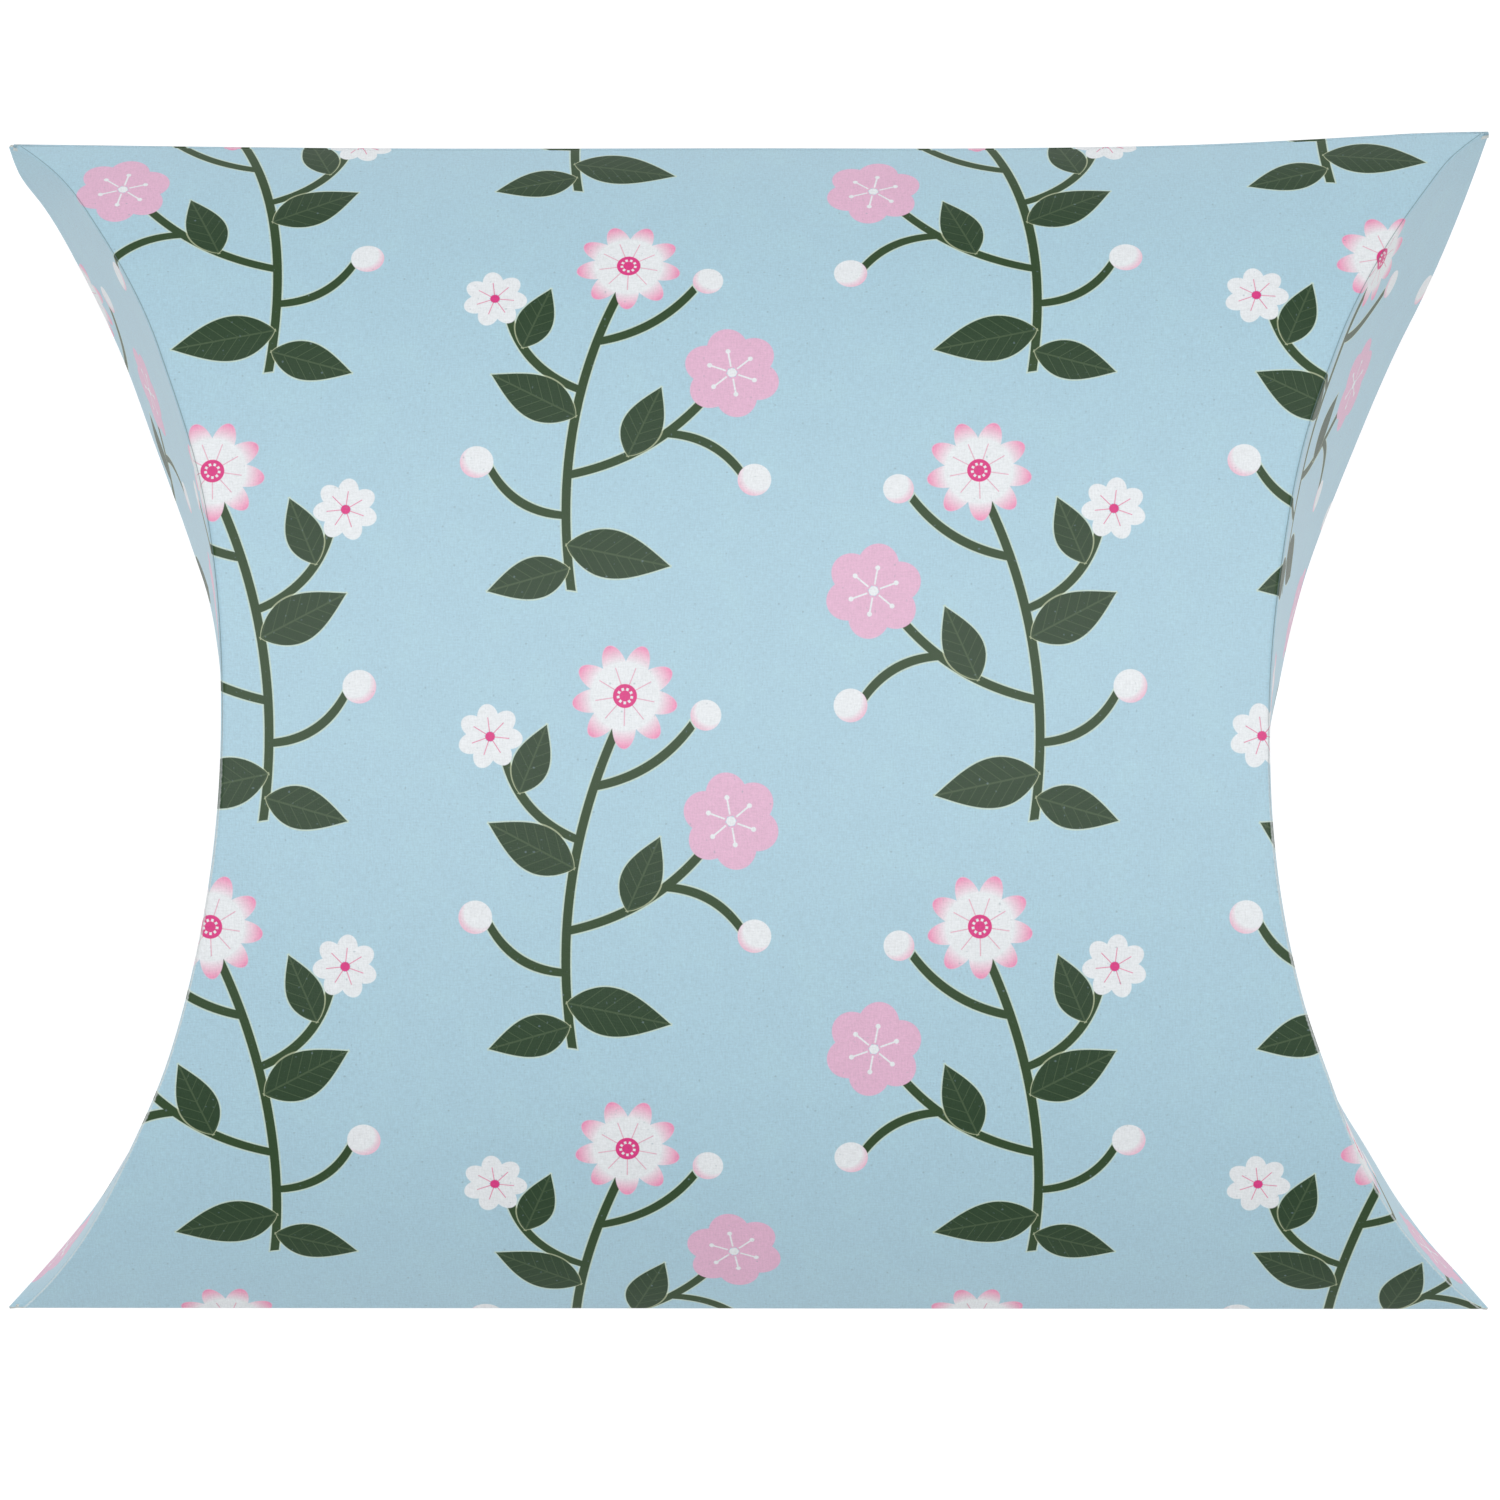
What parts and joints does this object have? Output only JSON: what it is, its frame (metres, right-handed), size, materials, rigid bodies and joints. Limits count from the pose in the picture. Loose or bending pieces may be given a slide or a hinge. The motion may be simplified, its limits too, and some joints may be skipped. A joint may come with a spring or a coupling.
{
  "type": "pillow box",
  "caption": "Folded card pillow box with bowed front and back panels, a glued side seam and hinged end flaps, printed with small flowers.",
  "frame": {"origin": "middle of the box's bounding box, on the surface that the back crown rests on", "axes": "+X along the two straight folds, from the left end to the right end; +Y from the lower fold to the glued upper fold; +Z from the back crown to the front crown"},
  "size_m": [0.16, 0.126, 0.0432],
  "materials": {
    "printed_card": "uncoated folding boxboard, light blue print with small flowers outside, plain white inside",
    "adhesive": "thin dried film of white carton glue"
  },
  "bodies": {
    "box_body": {"front_panel": "printed_card", "back_panel": "printed_card", "glue_tab": "printed_card", "seam_adhesive": "adhesive"},
    "left_outer": {"left_outer_flap": "printed_card"},
    "left_inner": {"left_inner_flap": "printed_card"},
    "right_outer": {"right_outer_flap": "printed_card"},
    "right_inner": {"right_inner_flap": "printed_card"}
  },
  "joints": [
    {"name": "left_outer_fold", "type": "hinge", "parent": "box_body", "child": "left_outer", "pos_m": [-0.0545, 0, 0.0432], "axis": [0, 1, 0], "range_deg": [0, 90]},
    {"name": "left_inner_fold", "type": "hinge", "parent": "box_body", "child": "left_inner", "pos_m": [-0.05852, 0, 0], "axis": [0, -1, 0], "range_deg": [0, 90]},
    {"name": "right_outer_fold", "type": "hinge", "parent": "box_body", "child": "right_outer", "pos_m": [0.0545, 0, 0.0432], "axis": [0, -1, 0], "range_deg": [0, 90]},
    {"name": "right_inner_fold", "type": "hinge", "parent": "box_body", "child": "right_inner", "pos_m": [0.05852, 0, 0], "axis": [0, 1, 0], "range_deg": [0, 90]}
  ],
  "couplings": [
    {"joint": "left_inner_fold", "follows": "left_outer_fold", "ratio": 1},
    {"joint": "right_inner_fold", "follows": "right_outer_fold", "ratio": 1}
  ]
}
